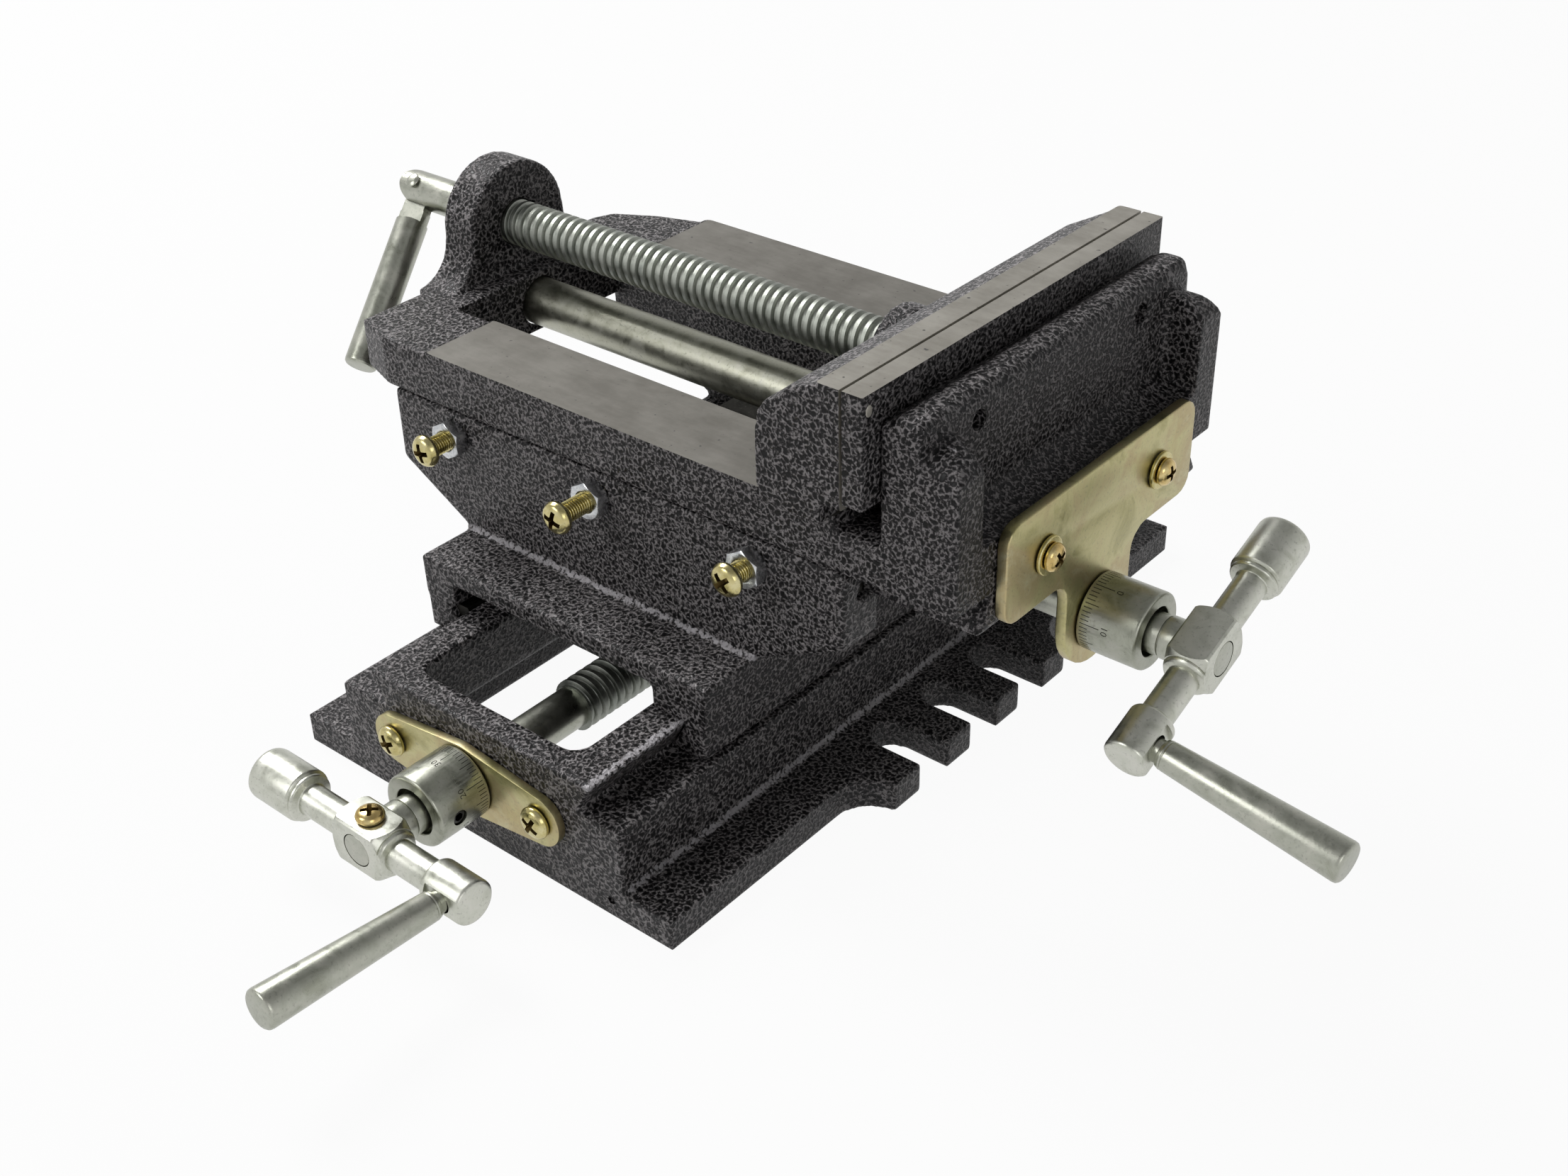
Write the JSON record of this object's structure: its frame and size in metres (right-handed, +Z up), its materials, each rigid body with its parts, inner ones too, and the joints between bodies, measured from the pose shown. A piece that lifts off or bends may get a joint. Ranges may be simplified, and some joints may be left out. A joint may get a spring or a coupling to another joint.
{
  "type": "cross vise",
  "caption": "Drill press vise on two crossed dovetail slides, each moved by a lead screw with a dial and a crank, with a screw-driven jaw that closes against a fixed jaw.",
  "frame": {"origin": "middle of the base casting's underside", "axes": "+X along the jaw screw towards the fixed jaw, +Y along the base's dovetail away from its crank, +Z up"},
  "size_m": [0.3285, 0.3189, 0.1382],
  "materials": {
    "hammered_paint": "charcoal hammered paint on cast iron",
    "ground_steel": "surface ground, grey",
    "zinc_steel": "bright zinc plate",
    "bright_steel": "bright drawn steel",
    "yellow_zinc_plate": "yellow zinc plate",
    "yellow_zinc_screws": "yellow zinc plate on screws"
  },
  "bodies": {
    "base": {"base_casting": "hammered_paint", "y_bracket_plate": "yellow_zinc_plate", "y_bracket_screw_1": "yellow_zinc_screws", "y_bracket_screw_2": "yellow_zinc_screws"},
    "saddle": {"saddle_casting": "hammered_paint", "x_gib": "bright_steel", "x_gib_screw_1": "yellow_zinc_screws", "x_gib_screw_2": "yellow_zinc_screws", "x_gib_screw_3": "yellow_zinc_screws", "x_gib_nut_1": "zinc_steel", "x_gib_nut_2": "zinc_steel", "x_gib_nut_3": "zinc_steel", "y_gib": "bright_steel", "y_gib_screw_1": "yellow_zinc_screws", "y_gib_screw_2": "yellow_zinc_screws", "y_gib_screw_3": "yellow_zinc_screws", "y_gib_nut_1": "zinc_steel", "y_gib_nut_2": "zinc_steel", "y_gib_nut_3": "zinc_steel", "x_lead_nut": "zinc_steel", "y_lead_nut": "zinc_steel"},
    "body": {"vise_body": "hammered_paint", "fixed_jaw_plate": "ground_steel", "jaw_plate_screw_1": "zinc_steel", "jaw_plate_screw_2": "zinc_steel", "guide_bar": "bright_steel", "x_bracket_plate": "yellow_zinc_plate", "x_bracket_screw_1": "yellow_zinc_screws", "x_bracket_screw_2": "yellow_zinc_screws", "x_bracket_washer_1": "yellow_zinc_screws", "x_bracket_washer_2": "yellow_zinc_screws"},
    "moving_jaw": {"movable_jaw": "hammered_paint", "jaw_screw_retainer": "bright_steel"},
    "jaw_screw": {"jaw_screw": "zinc_steel", "folding_handle_pin": "bright_steel"},
    "folding_handle": {"folding_handle": "zinc_steel"},
    "x_drive": {"x_lead_screw": "zinc_steel", "x_dial": "zinc_steel", "x_dial_set_screw": "bright_steel", "x_crank_arm": "zinc_steel", "x_crank_clamp_screw": "yellow_zinc_screws", "x_crank_handle": "zinc_steel"},
    "y_drive": {"y_lead_screw": "zinc_steel", "y_dial": "zinc_steel", "y_dial_set_screw": "bright_steel", "y_crank_arm": "zinc_steel", "y_crank_clamp_screw": "yellow_zinc_screws", "y_crank_handle": "zinc_steel"}
  },
  "joints": [
    {"name": "saddle_slide", "type": "slide", "parent": "base", "child": "saddle", "axis": [0, 1, 0], "range_m": [-0.03, 0.045]},
    {"name": "body_slide", "type": "slide", "parent": "saddle", "child": "body", "axis": [1, 0, 0], "range_m": [-0.03, 0.027]},
    {"name": "jaw_opening", "type": "slide", "parent": "body", "child": "moving_jaw", "axis": [-1, 0, 0], "range_m": [0, 0.115]},
    {"name": "jaw_screw_turn", "type": "hinge", "parent": "moving_jaw", "child": "jaw_screw", "pos_m": [0.0588, -0.0075, 0.1144], "axis": [1, 0, 0], "continuous": true},
    {"name": "handle_fold", "type": "hinge", "parent": "jaw_screw", "child": "folding_handle", "pos_m": [-0.1235, -0.0075, 0.1144], "axis": [0, 0.6561, -0.7547], "range_deg": [0, 207]},
    {"name": "x_screw_turn", "type": "hinge", "parent": "body", "child": "x_drive", "pos_m": [0.112, -0.0075, 0.062], "axis": [1, 0, 0], "continuous": true},
    {"name": "y_screw_turn", "type": "hinge", "parent": "base", "child": "y_drive", "pos_m": [0, -0.116, 0.0212], "axis": [0, 1, 0], "continuous": true}
  ],
  "couplings": [
    {"joint": "jaw_screw_turn", "follows": "jaw_opening", "rad_per_m": -2094.4},
    {"joint": "x_screw_turn", "follows": "body_slide", "rad_per_m": 2094.4},
    {"joint": "y_screw_turn", "follows": "saddle_slide", "rad_per_m": -2094.4}
  ]
}
